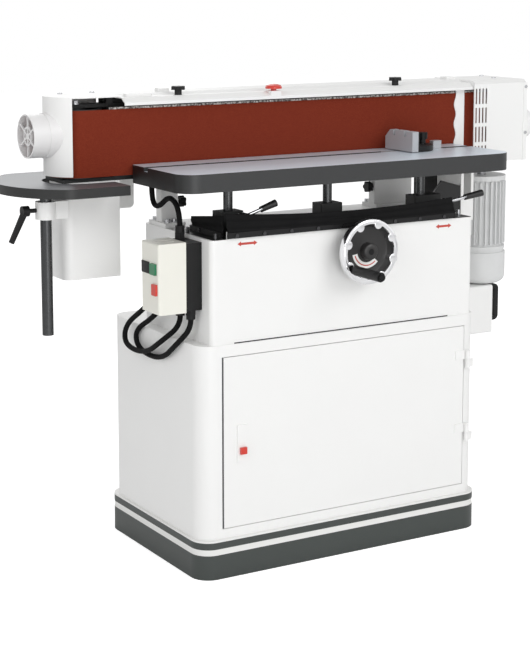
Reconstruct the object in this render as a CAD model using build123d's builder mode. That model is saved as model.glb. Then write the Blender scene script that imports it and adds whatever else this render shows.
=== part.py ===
from build123d import *
from math import atan2, cos, degrees, hypot, pi, radians, sin, sqrt, tan
import os

os.makedirs("parts", exist_ok=True)

# Edge sander. Millimetres, +X to the operator's right, +Y away from the operator, +Z up.
# The origin is the centre of the plinth's underside.

# Clearances shared by every pair that fits together.
RUN = 0.05      # radial gap of a shaft in its bore
SOFT = 0.3      # gap beside rubber, cords and other curved seats
SLIT = 1.5      # gap round the cabinet door
SHEET = 2.5     # sheet of the guards and covers
WALL = 3.0      # sheet of the cabinet and the housing

# Plinth and cabinet.
PLINTH_X, PLINTH_Y, PLINTH_R = 397.5, 241.5, 45
BAND_LOW, BAND_HIGH, PLINTH_TOP = 58, 72, 92
CAB_X, CAB_FRONT, CAB_BACK, CAB_R, CAB_TOP = 390, -231, 227, 42, 544
DOOR_X, DOOR_Z, DOOR_DEPTH = (-333, 348), (115, 515), 18
HINGE_X, HINGE_Y, HINGE_R, HINGE_Z, HINGE_H = 356, CAB_FRONT - 7, 6, (247, 432), 44
LATCH_X, LATCH_Z, LATCH_TURN_Z = (-295.5, -269), (267, 354), 294

# Upper housing with the table lift.
HOUSE_X, HOUSE_Y, HOUSE_TOP = (-359, 373), (-227, 103), 784
POST_R, POST_Y, POST_XS = 11, -140, (-266, 5, 276)
BEAM_Z = (575, 600)
SCREW_X, SCREW_Y, SCREW_R, NUT_R = 33.5, -90, 10, 17
WHEEL_Z, WHEEL_SHAFT_R, WHEEL_R, GEAR_R = 734.5, 8, 77, 17
GRIP_AT = (-0.774, -0.633)
GRIP_REACH = 61
SKIRT_X, SKIRT_Y, SKIRT_T = (-319, 314), -229.7, 2.5

# Main table.
TABLE_X, TABLE_Y, TABLE_Z = (-448, 467), (-265, -15), (898, 940)
TABLE_TOP_T, TABLE_RIM, TABLE_CORNER = 16, 11, 45
SLOT_Y, SLOT_W, SLOT_D = -85, 19, 9.5

# Belt, drums and head.
DRUM_Y, IDLER_X, DRIVE_X, DRUM_R = 51.5, -559, 614, 62
BELT_IN, BELT_OUT = DRUM_R + 0.3, DRUM_R + 1.5
AXLE_R = 12
PLATE_LOW, PLATE_T, PLATE_Y = 904, 8, (5, 105)
PLATE_Z = (PLATE_LOW, PLATE_LOW + PLATE_T)
BELT_WIDTH = 152.4
BELT_Z = (PLATE_Z[1] + 4, PLATE_Z[1] + 4 + BELT_WIDTH)
FRAME_X, FRAME_Y, FRAME_TOP = (-490, 545), (-4, 105), BELT_Z[1] - 2.4
PLATEN_X, PLATEN_TOP = (-500, 555), BELT_Z[1] + 4.6
ARM_Z = (FRAME_TOP + 5, FRAME_TOP + 13)
COVER_TOP, COVER_X, LIP_Y = ARM_Z[1] + 20, (-471, 520.8), -30
COVER_STEP = COVER_TOP - 5
END_COVER_R, END_COVER_LOW = 73, BELT_Z[0] + 3
PORT_R, PORT_GRIP, PORT_X = 50, 40, -680
PORT_Z = (END_COVER_LOW + COVER_TOP) / 2 + 2
GUARD_Y = 118

# End table and its post.
END_TOP, END_T, END_X, END_Y = PLATE_Z[0] + 1, 22, -497, (-107, 240)
END_ARC_R, END_ARC_AT, END_FILLET = 208, (-533, 68), 60
CUT_Y, CUT_R = (-27, 128), 77.5
END_POST_R, END_POST_AT, BOSS_Z = 13, (-657, 0), (PLATE_Z[0] - 76, PLATE_Z[0] - 36)
COLUMN_X, COLUMN_Z = (-608, -480), (680, PLATE_Z[0])

# Motor and the box beside it.
MOTOR_R, FIN_DEPTH, FIN_COUNT, MOTOR_Z = 65, 9, 28, (650, 845)
FAN_COVER_R, FAN_COVER_Z = 66, (558, 642)
CHANNEL_X, CHANNEL_Y, CHANNEL_Z = (505, 545), (-5, 106), (735, PLATE_Z[0])
BOX_X, BOX_Y, BOX_Z = (390, 612), (-8, 100), (428, 556)

# Switch box and cords.
SWITCH_X, SWITCH_Y, SWITCH_Z = (-470, -400, -359), (-186, -102), (618, 779)
CORD_R = 6.25


def top(z):
    """Level plane at height z, drawn in X and Y."""
    return Plane((0, 0, z))


def front(y):
    """Upright plane facing the operator, drawn in X and Z; depth runs to -Y."""
    return Plane((0, y, 0), x_dir=(1, 0, 0), z_dir=(0, -1, 0))


def side(x):
    """Upright plane facing right, drawn in Y and Z; depth runs to +X."""
    return Plane((x, 0, 0), x_dir=(0, 1, 0), z_dir=(1, 0, 0))


def slab(plane, a, b, depth, radius=0, mode=Mode.ADD):
    """Rectangle over the spans a and b of the plane, given a depth."""
    with BuildSketch(plane) as face:
        with Locations(((a[0] + a[1]) / 2, (b[0] + b[1]) / 2)):
            if radius:
                RectangleRounded(a[1] - a[0], b[1] - b[0], radius)
            else:
                Rectangle(a[1] - a[0], b[1] - b[0])
    extrude(face.sketch, amount=depth, mode=mode)


def disc(plane, spots, radius, depth, inner=0, mode=Mode.ADD):
    """Round bars or tubes standing on the plane at the given spots."""
    with BuildSketch(plane) as face:
        with Locations(*spots):
            Circle(radius)
            if inner:
                Circle(inner, mode=Mode.SUBTRACT)
    extrude(face.sketch, amount=depth, mode=mode)


def sheet(plane, points, depth, mode=Mode.ADD):
    """Straight-sided outline on the plane, given a depth."""
    with BuildSketch(plane) as face:
        with BuildLine():
            Polyline(*points, close=True)
        make_face()
    extrude(face.sketch, amount=depth, mode=mode)


def bar(start, end, radius, tip=None):
    """Round bar between two points, tapering to the tip radius."""
    way = Vector(*end) - Vector(*start)
    with BuildSketch(Plane(start, z_dir=way)) as near:
        Circle(radius)
    with BuildSketch(Plane(end, z_dir=way)) as far:
        Circle(tip or radius)
    loft([near.sketch.face(), far.sketch.face()])


def knob(plane, at, radius, depth, lobes=5):
    """Lobed hand knob: a round core with round lobes on its edge."""
    with BuildSketch(plane) as face:
        with Locations(at):
            Circle(radius * 0.78)
            with PolarLocations(radius * 0.68, lobes):
                Circle(radius * 0.32)
    extrude(face.sketch, amount=depth)


def save(name, *builders):
    """Writes one node: the solids of one builder, or of several that are fixed together."""
    node = Compound([solid for builder in builders for solid in builder.part.solids()])
    node.label = name
    export_step(node, f"parts/{name}.step")


# Plinth: a steel tray with a white band and a dark skirting above it.
with BuildPart() as plinth:
    slab(top(0), (-PLINTH_X, PLINTH_X), (-PLINTH_Y, PLINTH_Y), BAND_LOW, PLINTH_R)
    slab(top(6), (8 - PLINTH_X, PLINTH_X - 8), (8 - PLINTH_Y, PLINTH_Y - 8), BAND_LOW,
         PLINTH_R - 8, Mode.SUBTRACT)


def plinth_ring(z, inset, wall):
    """One hoop of the plinth, its outside set in from the plinth's own."""
    x = PLINTH_X - inset
    y = PLINTH_Y - inset
    height = z[1] - z[0]
    slab(top(z[0]), (-x, x), (-y, y), height, PLINTH_R - inset)
    slab(top(z[0]), (wall - x, x - wall), (wall - y, y - wall), height,
         PLINTH_R - inset - wall, Mode.SUBTRACT)


with BuildPart() as plinth_band:
    plinth_ring((BAND_LOW, BAND_HIGH), 1, 8)

with BuildPart() as plinth_skirting:
    plinth_ring((BAND_HIGH, PLINTH_TOP), 0, 20)
save("plinth", plinth, plinth_band, plinth_skirting)

# Cabinet: a sheet box with a front doorway and a keeper for the latch tongue.
with BuildPart() as cabinet_shell:
    slab(top(PLINTH_TOP), (-CAB_X, CAB_X), (CAB_FRONT, CAB_BACK), CAB_TOP - PLINTH_TOP, CAB_R)
    slab(top(PLINTH_TOP + WALL), (WALL - CAB_X, CAB_X - WALL), (CAB_FRONT + WALL, CAB_BACK - WALL),
         CAB_TOP - PLINTH_TOP - 2 * WALL, CAB_R - WALL, Mode.SUBTRACT)
    slab(front(CAB_FRONT + 2 * WALL), (DOOR_X[0] - SLIT, DOOR_X[1] + SLIT),
         (DOOR_Z[0] - SLIT, DOOR_Z[1] + SLIT), 3 * WALL, mode=Mode.SUBTRACT)
    slab(front(CAB_FRONT + DOOR_DEPTH + 3), (DOOR_X[0] - 16, DOOR_X[0] - 4),
         (LATCH_TURN_Z - 20, LATCH_TURN_Z + 20), DOOR_DEPTH + 3 - WALL)

# Door: a pan with a turned-in edge, hung on two barrels at its right edge.
with BuildPart() as cabinet_door:
    slab(front(CAB_FRONT + DOOR_DEPTH), DOOR_X, DOOR_Z, DOOR_DEPTH)
    slab(front(CAB_FRONT + DOOR_DEPTH), (DOOR_X[0] + WALL, DOOR_X[1] - WALL),
         (DOOR_Z[0] + WALL, DOOR_Z[1] - WALL), DOOR_DEPTH - WALL, mode=Mode.SUBTRACT)
    disc(front(CAB_FRONT + WALL), [(sum(LATCH_X) / 2, LATCH_TURN_Z)], 5.5, WALL, mode=Mode.SUBTRACT)

with BuildPart() as door_leaves:
    for z in HINGE_Z:
        disc(top(z + 0.5), [(HINGE_X, HINGE_Y)], HINGE_R, HINGE_H / 2, 2.5 + RUN)
        slab(top(z + 0.5), (HINGE_X - 34, HINGE_X - HINGE_R + 1), (CAB_FRONT - 3, CAB_FRONT), HINGE_H / 2)

with BuildPart() as hinge_posts:
    for z in HINGE_Z:
        disc(top(z - HINGE_H / 2), [(HINGE_X, HINGE_Y)], HINGE_R, HINGE_H / 2)
        disc(top(z), [(HINGE_X, HINGE_Y)], 2.5, HINGE_H / 2)
        slab(top(z - HINGE_H / 2), (HINGE_X + HINGE_R - 1, HINGE_X + 20), (CAB_FRONT - 3, CAB_FRONT),
             HINGE_H / 2)
save("cabinet_shell", cabinet_shell, hinge_posts)

LATCH_AT = (sum(LATCH_X) / 2, LATCH_TURN_Z)
with BuildPart() as latch_plate:
    slab(front(CAB_FRONT), LATCH_X, LATCH_Z, 4)
    disc(front(CAB_FRONT), [LATCH_AT], 5.5, 4, mode=Mode.SUBTRACT)
save("cabinet_door", cabinet_door, door_leaves, latch_plate)

# Quarter-turn latch, shown released: turned a quarter, its tongue reaches behind the keeper.
with BuildPart() as latch_turn:
    slab(front(CAB_FRONT - 4 - SOFT), (LATCH_AT[0] - 8, LATCH_AT[0] + 8),
         (LATCH_AT[1] - 8, LATCH_AT[1] + 8), 6)
    disc(front(CAB_FRONT + DOOR_DEPTH + 7), [LATCH_AT], 5.5 - RUN, DOOR_DEPTH + 11 + SOFT)
    slab(front(CAB_FRONT + DOOR_DEPTH + 7), (LATCH_AT[0] - 8, LATCH_AT[0] + 8),
         (LATCH_AT[1] - 8, LATCH_AT[1] + LATCH_AT[0] - DOOR_X[0] + 13), 3.7)
save("latch_turn", latch_turn)

# Upper housing: open below on the cabinet top, with an upstand for the rubber skirt.
with BuildPart() as upper_housing:
    slab(top(CAB_TOP), HOUSE_X, HOUSE_Y, HOUSE_TOP - CAB_TOP, 12)
    slab(top(CAB_TOP), (HOUSE_X[0] + WALL, HOUSE_X[1] - WALL), (HOUSE_Y[0] + WALL, HOUSE_Y[1] - WALL),
         HOUSE_TOP - CAB_TOP - WALL, 9, Mode.SUBTRACT)
    slab(top(HOUSE_TOP), (SKIRT_X[0] + 1, SKIRT_X[1] - 1), (HOUSE_Y[0], HOUSE_Y[0] + WALL), 17)
    slab(front(HOUSE_Y[0] + 1.5), (-322, 334), (CAB_TOP + 2.5, CAB_TOP + 7.5), 3, mode=Mode.SUBTRACT)
    disc(top(HOUSE_TOP - WALL), [(x, POST_Y) for x in POST_XS], POST_R + 1, WALL, mode=Mode.SUBTRACT)
    disc(front(HOUSE_Y[0] + WALL), [(SCREW_X, WHEEL_Z)], 18, 2 * WALL, mode=Mode.SUBTRACT)
save("upper_housing", upper_housing)

with BuildPart() as post_guides:
    for x, reach in zip(POST_XS, (30, 30, 50)):
        slab(top(HOUSE_TOP), (x - 30, x + reach), (POST_Y - 22, POST_Y + 22), 52, 4)
    disc(top(HOUSE_TOP), [(x, POST_Y) for x in POST_XS], POST_R + RUN, 52, mode=Mode.SUBTRACT)
save("post_guides", post_guides)

with BuildPart() as table_posts:
    disc(top(BEAM_Z[0]), [(x, POST_Y) for x in POST_XS], POST_R, TABLE_Z[0] - BEAM_Z[0])
save("table_posts", table_posts)

# Lift beam: it joins the feet of the three posts and carries the nut.
with BuildPart() as lift_beam:
    slab(top(BEAM_Z[0]), (POST_XS[0] - 28, POST_XS[2] + 28), (POST_Y - 20, POST_Y + 20),
         BEAM_Z[1] - BEAM_Z[0], 8)
    slab(top(BEAM_Z[0]), (SCREW_X - 30, SCREW_X + 30), (POST_Y, SCREW_Y + 28), BEAM_Z[1] - BEAM_Z[0], 8)
    disc(top(BEAM_Z[0]), [(x, POST_Y) for x in POST_XS], POST_R + RUN / 5, 30, mode=Mode.SUBTRACT)
    disc(top(BEAM_Z[0]), [(SCREW_X, SCREW_Y)], NUT_R + RUN / 5, 30, mode=Mode.SUBTRACT)

with BuildPart() as lift_nut:
    disc(top(BEAM_Z[0]), [(SCREW_X, SCREW_Y)], NUT_R, BEAM_Z[1] - BEAM_Z[0], SCREW_R + RUN)
    disc(top(BEAM_Z[1]), [(SCREW_X, SCREW_Y)], NUT_R + 5, 5, SCREW_R + RUN)
save("lift_beam", lift_beam, lift_nut)

with BuildPart() as screw_bearing:
    disc(top(CAB_TOP), [(SCREW_X, SCREW_Y)], 26, 16)
    disc(top(CAB_TOP + 4), [(SCREW_X, SCREW_Y)], SCREW_R + RUN, 16, mode=Mode.SUBTRACT)

# A right-angle bevel pair: both cones share one apex, where the two axes cross.
GEAR_TEETH = 16
GEAR_FACE = 8


def bevel(plane):
    """Bevel gear whose cone runs from the plane towards its apex, with cut tooth spaces."""
    with BuildSketch(plane) as big:
        Circle(GEAR_R - SOFT)
    with BuildSketch(plane.offset(GEAR_FACE)) as small:
        Circle(GEAR_R - SOFT - GEAR_FACE)
    loft([big.sketch.face(), small.sketch.face()])
    with BuildSketch(plane) as gap_low:
        with PolarLocations(GEAR_R, GEAR_TEETH):
            Rectangle(3.6, 2.4)
    extrude(gap_low.sketch, amount=2.5, mode=Mode.SUBTRACT)


with BuildPart() as lead_screw:
    disc(top(CAB_TOP + 4 + RUN), [(SCREW_X, SCREW_Y)], SCREW_R, WHEEL_Z - GEAR_R - CAB_TOP - 4 - RUN)

with BuildPart() as screw_gear:
    bevel(Plane((SCREW_X, SCREW_Y, WHEEL_Z - GEAR_R)))
save("lead_screw", lead_screw, screw_gear)

with BuildPart() as wheel_gear:
    bevel(Plane((SCREW_X, SCREW_Y - GEAR_R, WHEEL_Z), z_dir=(0, 1, 0)))

WHEEL_FACE = -286
with BuildPart() as wheel_shaft:
    disc(front(SCREW_Y - GEAR_R), [(SCREW_X, WHEEL_Z)], WHEEL_SHAFT_R, SCREW_Y - GEAR_R - WHEEL_FACE)

with BuildPart() as wheel_bearing:
    disc(front(-180), [(SCREW_X, WHEEL_Z)], 18 - RUN, -HOUSE_Y[0] - 180, WHEEL_SHAFT_R + RUN)
    disc(front(HOUSE_Y[0]), [(SCREW_X, WHEEL_Z)], 26, 8, WHEEL_SHAFT_R + RUN)
save("lift_bearings", screw_bearing, wheel_bearing)

# Handwheel: a dished disc let into a plated rim, whose inner edge has a ring of finger lobes.
RIM_W, LOBES, LOBE_R, LOBE_AT = 7, 8, 11, 69
DISH_Y = -276
WHEEL_HUB_BACK = HOUSE_Y[0] - 10


def lobes(plane):
    """Sketch of the rim's inner edge: a full disc less the ring of lobes."""
    with BuildSketch(plane) as inner:
        with Locations((SCREW_X, WHEEL_Z)):
            Circle(WHEEL_R - RIM_W)
            with PolarLocations(LOBE_AT, LOBES, start_angle=27):
                Circle(LOBE_R, mode=Mode.SUBTRACT)
    return inner.sketch


with BuildPart() as handwheel:
    extrude(lobes(front(DISH_Y)), amount=6)
    with BuildSketch(front(DISH_Y + 10)) as back:
        with Locations((SCREW_X, WHEEL_Z)):
            Circle(30)
    with BuildSketch(front(DISH_Y)) as near:
        with Locations((SCREW_X, WHEEL_Z)):
            Circle(52)
    loft([back.sketch.face(), near.sketch.face()])
    disc(front(WHEEL_HUB_BACK), [(SCREW_X, WHEEL_Z)], 18, WHEEL_HUB_BACK - WHEEL_FACE)
    disc(front(WHEEL_HUB_BACK), [(SCREW_X, WHEEL_Z)], WHEEL_SHAFT_R, 60, mode=Mode.SUBTRACT)

with BuildPart() as handwheel_rim:
    with BuildSketch(side(SCREW_X)) as section:
        with Locations((DISH_Y - 4, WHEEL_Z + WHEEL_R - RIM_W + 2)):
            Rectangle(16, 10)
        chamfer(section.vertices(), 3)
    revolve(section.sketch, axis=Axis((SCREW_X, 0, WHEEL_Z), (0, 1, 0)))
    with BuildSketch(front(DISH_Y + 1)) as bumps:
        with Locations((SCREW_X, WHEEL_Z)):
            with PolarLocations(LOBE_AT, LOBES, start_angle=27):
                Circle(LOBE_R)
            Circle(WHEEL_R - 3, mode=Mode.INTERSECT)
    extrude(bumps.sketch, amount=8)
    extrude(lobes(front(DISH_Y)), amount=12, mode=Mode.SUBTRACT)
    extrude(lobes(front(DISH_Y + 8)), amount=8, mode=Mode.SUBTRACT)
save("handwheel", handwheel, handwheel_rim)

GRIP_X = SCREW_X + GRIP_REACH * GRIP_AT[0]
GRIP_Z = WHEEL_Z + GRIP_REACH * GRIP_AT[1]
with BuildPart() as grip_spindle:
    disc(front(DISH_Y - 6), [(GRIP_X, GRIP_Z)], 5, 396 + DISH_Y - 6)
    disc(front(-396), [(GRIP_X, GRIP_Z)], 8, 4)
save("wheel_shaft", wheel_shaft, wheel_gear, grip_spindle)

with BuildPart() as handwheel_grip:
    disc(front(-292), [(GRIP_X, GRIP_Z)], 11.5, 103)
    chamfer(handwheel_grip.edges().filter_by(GeomType.CIRCLE), 1.5)
    disc(front(-284), [(GRIP_X, GRIP_Z)], 5 + RUN, 120, mode=Mode.SUBTRACT)
save("handwheel_grip", handwheel_grip)

# Rubber skirt: clamped below, one long crease, and a free top edge that sags in the middle.
SKIRT_TOPS = (843, 826, 836.6)


def skirt_section(x, crest):
    """Cross-section of the standing rubber at x, its free edge at the height crest."""
    low = HOUSE_TOP + 2
    with BuildSketch(side(x)) as face:
        with BuildLine():
            Polyline((SKIRT_Y + SKIRT_T, low), (SKIRT_Y, low), (SKIRT_Y, low + 16))
            ThreePointArc((SKIRT_Y, low + 16), (SKIRT_Y - 5, low + 21), (SKIRT_Y - 4, low + 28))
            Line((SKIRT_Y - 4, low + 28), (SKIRT_Y + 12.2, crest))
            Line((SKIRT_Y + 12.2, crest), (SKIRT_Y + 14.5, crest - 1))
            Line((SKIRT_Y + 14.5, crest - 1), (SKIRT_Y - 1.5, low + 27))
            ThreePointArc((SKIRT_Y - 1.5, low + 27), (SKIRT_Y - 2.4, low + 21.6), (SKIRT_Y + SKIRT_T, low + 17))
            Line((SKIRT_Y + SKIRT_T, low + 17), (SKIRT_Y + SKIRT_T, low))
        make_face()
    return face.sketch.face()


with BuildPart() as rubber_skirt:
    loft([skirt_section(x, z) for x, z in zip((SKIRT_X[0], 29, SKIRT_X[1]), SKIRT_TOPS)])

# The skirt's left return, with a fold along it, runs back beside the left guide.
RETURN_Y = (-208, -58)
with BuildPart() as skirt_return:
    sheet(side(SKIRT_X[0]), [(RETURN_Y[0], HOUSE_TOP), (RETURN_Y[0], HOUSE_TOP + 52),
                             (RETURN_Y[1], HOUSE_TOP + 33), (RETURN_Y[1], HOUSE_TOP)], SKIRT_T)
    sheet(side(SKIRT_X[0] + SKIRT_T), [(RETURN_Y[0], HOUSE_TOP + 24), (RETURN_Y[0], HOUSE_TOP + 32),
                                       (RETURN_Y[1], HOUSE_TOP + 25), (RETURN_Y[1], HOUSE_TOP + 17)], 4)
save("rubber_skirt", rubber_skirt, skirt_return)

STRIP_Y = SKIRT_Y - 0.2
STRIP_SCREWS_X = [-296 + 72 * n for n in range(9)]
with BuildPart() as skirt_strip:
    slab(front(STRIP_Y), (SKIRT_X[0], SKIRT_X[1]), (HOUSE_TOP + 2, HOUSE_TOP + 15), 3)

with BuildPart() as return_strip:
    slab(side(SKIRT_X[0] - 3), RETURN_Y, (HOUSE_TOP, HOUSE_TOP + 12), 3)
save("skirt_strip", skirt_strip, return_strip)

with BuildPart() as skirt_screws:
    disc(front(STRIP_Y - 3), [(x, HOUSE_TOP + 8) for x in STRIP_SCREWS_X], 4.5, 2.5)
    disc(side(SKIRT_X[0] - 5.5), [(-106, HOUSE_TOP + 7)], 4.5, 2.5)

# Tall cap screws that hold the housing's top.
with BuildPart() as housing_screws:
    disc(top(HOUSE_TOP), [(-345, -92), (-340, -213), (358, -187), (358, -60)], 4, 14)

# Main table: ribbed casting with a gauge slot that runs out at both ends.
with BuildPart() as main_table:
    with BuildSketch(top(TABLE_Z[0])) as plan:
        with Locations((sum(TABLE_X) / 2, sum(TABLE_Y) / 2)):
            Rectangle(TABLE_X[1] - TABLE_X[0], TABLE_Y[1] - TABLE_Y[0])
        fillet(plan.vertices().group_by(Axis.Y)[0], TABLE_CORNER)
        fillet(plan.vertices().group_by(Axis.Y)[-1], 6)
    extrude(plan.sketch, amount=TABLE_Z[1] - TABLE_Z[0])
    slab(top(TABLE_Z[0]), (TABLE_X[0] + TABLE_RIM, TABLE_X[1] - TABLE_RIM),
         (TABLE_Y[0] + TABLE_RIM, TABLE_Y[1] - TABLE_RIM), TABLE_Z[1] - TABLE_Z[0] - TABLE_TOP_T,
         TABLE_CORNER - TABLE_RIM, Mode.SUBTRACT)
    for n in range(1, 8):
        x = TABLE_X[0] + n * (TABLE_X[1] - TABLE_X[0]) / 8
        slab(top(TABLE_Z[0] + 6), (x - 4, x + 4), (TABLE_Y[0] + 5, TABLE_Y[1] - 5), 22)
    disc(top(TABLE_Z[0]), [(x, POST_Y) for x in POST_XS], 24, 30)
    slab(top(TABLE_Z[1] - SLOT_D), (TABLE_X[0] - 1, TABLE_X[1] + 1),
         (SLOT_Y - SLOT_W / 2, SLOT_Y + SLOT_W / 2), SLOT_D + 1, mode=Mode.SUBTRACT)
save("main_table", main_table)


def lever(hub, angle, reach, name):
    """Lock lever: stud, hub and rod in one builder, the hand grip in another."""
    y = POST_Y - 60
    way = (cos(radians(angle)), sin(radians(angle)))
    knee = (hub[0] + 0.52 * reach * way[0], y, hub[1] + 0.52 * reach * way[1])
    tip = (hub[0] + reach * way[0], y, hub[1] + reach * way[1])
    with BuildPart() as rod:
        disc(front(POST_Y - 22), [hub], 5, 32)
        disc(front(y + 8), [hub], 10, 16)
        bar((hub[0] + 4 * way[0], y, hub[1] + 4 * way[1]), knee, 4)
    with BuildPart() as grip:
        bar(knee, tip, 7, 8.5)
    save(name, rod, grip)


lever((-258, 828), 17.3, 88, "left_lever")
lever((310, 821), 8.3, 111, "right_lever")

# Head: bottom plate, box between the belt's two runs, cover posts and the idler's arm.
with BuildPart() as head_frame:
    slab(top(PLATE_Z[0]), (COLUMN_X[0] - 4, DRIVE_X + 72), PLATE_Y, PLATE_Z[1] - PLATE_Z[0], 4)
    slab(top(PLATE_Z[1]), FRAME_X, FRAME_Y, FRAME_TOP - PLATE_Z[1])
    slab(top(PLATE_Z[1] + 6), (FRAME_X[0] + 6, FRAME_X[1] - 6), (FRAME_Y[0] + 6, FRAME_Y[1] - 6),
         FRAME_TOP - PLATE_Z[1] - 12, mode=Mode.SUBTRACT)
    disc(top(PLATE_Z[0]), [(DRIVE_X, DRUM_Y)], 17, PLATE_Z[1] - PLATE_Z[0], mode=Mode.SUBTRACT)

with BuildPart() as cover_posts:
    for x in (-420, 40, 480):
        slab(top(FRAME_TOP), (x - 15, x + 15), (60, 100), COVER_TOP - SHEET - FRAME_TOP)

with BuildPart() as idler_arm:
    slab(top(FRAME_TOP), (FRAME_X[0] + 1, FRAME_X[0] + 45), (30, 73), ARM_Z[1] - FRAME_TOP)
    slab(top(ARM_Z[0]), (IDLER_X - 26, FRAME_X[0] + 45), (30, 73), ARM_Z[1] - ARM_Z[0], 5)
    slab(top(ARM_Z[1]), (FRAME_X[0] + 1, FRAME_X[0] + 17), (30, 73), COVER_TOP - SHEET - ARM_Z[1])
    slab(top(ARM_Z[1]), (FRAME_X[0] + 20, FRAME_X[0] + 45), (40, 73), COVER_TOP - SHEET - ARM_Z[1])

with BuildPart() as idler_axle:
    disc(top(PLATE_Z[1]), [(IDLER_X, DRUM_Y)], AXLE_R, ARM_Z[0] - PLATE_Z[1])
save("head_frame", head_frame, cover_posts, idler_arm, idler_axle)

with BuildPart() as idler_bolt:
    disc(top(ARM_Z[1]), [(IDLER_X, DRUM_Y)], 15, 2)
    with BuildSketch(top(ARM_Z[1] + 2)) as head:
        with Locations((IDLER_X, DRUM_Y)):
            RegularPolygon(9, 6)
    extrude(head.sketch, amount=6)


def drum(x, bore, hub_z):
    """Hollow drum: a rim, a hub and two webs."""
    low = PLATE_Z[1] + 2
    high = BELT_Z[1] + 1.6
    disc(top(low), [(x, DRUM_Y)], DRUM_R, high - low, DRUM_R - 7)
    disc(top(hub_z[0]), [(x, DRUM_Y)], 24, hub_z[1] - hub_z[0], bore)
    for z in (low + 14, high - 16):
        disc(top(z), [(x, DRUM_Y)], DRUM_R - 5, 8, 20)


with BuildPart() as idler_drum:
    drum(IDLER_X, AXLE_R + RUN, (PLATE_Z[1] + 0.2, ARM_Z[0] - 0.2))
save("idler_drum", idler_drum)

with BuildPart() as drive_drum:
    drum(DRIVE_X, AXLE_R + RUN / 5, (PLATE_Z[1] + 4, FRAME_TOP))
save("drive_drum", drive_drum)

# Sanding belt: an endless band round both drums.
BELT_LENGTH = 2 * (DRIVE_X - IDLER_X) + 2 * pi * BELT_OUT
with BuildPart() as sanding_belt:
    with BuildSketch(top(BELT_Z[0])) as loop:
        with Locations(((IDLER_X + DRIVE_X) / 2, DRUM_Y)):
            SlotCenterToCenter(DRIVE_X - IDLER_X, 2 * BELT_OUT)
            SlotCenterToCenter(DRIVE_X - IDLER_X, 2 * BELT_IN, mode=Mode.SUBTRACT)
    extrude(loop.sketch, amount=BELT_Z[1] - BELT_Z[0])
save("sanding_belt", sanding_belt)
print("belt length", round(BELT_LENGTH, 1))

with BuildPart() as platen:
    slab(top(PLATE_Z[1] + 6), PLATEN_X, (DRUM_Y - BELT_IN + SOFT, FRAME_Y[0]), PLATEN_TOP - PLATE_Z[1] - 6)
save("platen", platen)

# Top cover: one bent sheet, lip down at the front, bored for the stop button's stem.
ESTOP_AT = (-70, -17)
LIP_LOW = COVER_STEP - 17
with BuildPart() as top_cover:
    back = GUARD_Y + SHEET
    sheet(side(COVER_X[0]), [
        (LIP_Y, LIP_LOW), (LIP_Y, COVER_STEP - 10), (LIP_Y + 17, COVER_STEP), (20, COVER_STEP), (35, COVER_TOP),
        (back, COVER_TOP), (back, COVER_TOP - SHEET), (36, COVER_TOP - SHEET), (21, COVER_STEP - SHEET),
        (LIP_Y + 17.7, COVER_STEP - SHEET), (LIP_Y + SHEET, COVER_STEP - 11.5), (LIP_Y + SHEET, LIP_LOW),
    ], COVER_X[1] - COVER_X[0])
    disc(top(LIP_LOW), [ESTOP_AT], 8, 40, mode=Mode.SUBTRACT)
save("top_cover", top_cover)

with BuildPart() as rear_guard:
    slab(top(PLATE_Z[0]), (COVER_X[0] + 30, 519), (GUARD_Y, GUARD_Y + SHEET), COVER_TOP - SHEET - PLATE_Z[0])
    slab(top(PLATE_Z[0]), (-300, 500), (PLATE_Y[1], GUARD_Y), SHEET)
    slab(front(GUARD_Y + SHEET), (-430, -378), (820, PLATE_Z[0] + 20), SHEET, 12)
save("rear_guard", rear_guard)

# Left end cover: wraps the idler drum, open in front over the belt.
with BuildPart() as left_end_cover:
    for inset, mode in ((0, Mode.ADD), (SHEET, Mode.SUBTRACT)):
        with BuildSketch(top(END_COVER_LOW)) as plan:
            with Locations((IDLER_X, DRUM_Y)):
                Circle(END_COVER_R - inset)
            with Locations(((IDLER_X + COVER_X[0] - SOFT) / 2, DRUM_Y)):
                Rectangle(COVER_X[0] - SOFT - IDLER_X, 2 * (END_COVER_R - inset))
        extrude(plan.sketch, amount=COVER_TOP - inset - END_COVER_LOW, mode=mode)
    slab(top(END_COVER_LOW), (IDLER_X - 35, COVER_X[0]), (LIP_Y, 10), COVER_TOP - SHEET - END_COVER_LOW,
         mode=Mode.SUBTRACT)
    slab(top(END_COVER_LOW), (COVER_X[0] - SOFT - 0.5, COVER_X[0]), (LIP_Y, 115), 60, mode=Mode.SUBTRACT)
    disc(side(PORT_X + PORT_GRIP), [(DRUM_Y, PORT_Z)], PORT_R - 4, 60, mode=Mode.SUBTRACT)
save("left_end_cover", left_end_cover)

# Dust port: a moulded collar with a spoked grille; its foot is shaped to the cover behind it.
with BuildPart() as dust_port:
    disc(side(PORT_X), [(DRUM_Y, PORT_Z)], PORT_R, PORT_GRIP, PORT_R - 3)
    disc(side(PORT_X + PORT_GRIP), [(DRUM_Y, PORT_Z)], PORT_R + 1.5, 40, PORT_R - 3)
    disc(side(PORT_X + 4), [(DRUM_Y, PORT_Z)], 22, 4, 18)
    disc(side(PORT_X + 4), [(DRUM_Y, PORT_Z)], 7, 4)
    with BuildSketch(side(PORT_X + 4)) as spokes:
        with Locations((DRUM_Y, PORT_Z)):
            with PolarLocations(PORT_R / 2, 6, start_angle=30):
                Rectangle(PORT_R - 4, 4)
    extrude(spokes.sketch, amount=4)
    disc(top(END_COVER_LOW - 20), [(IDLER_X, DRUM_Y)], END_COVER_R + RUN, 220, mode=Mode.SUBTRACT)
save("dust_port", dust_port)

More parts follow.
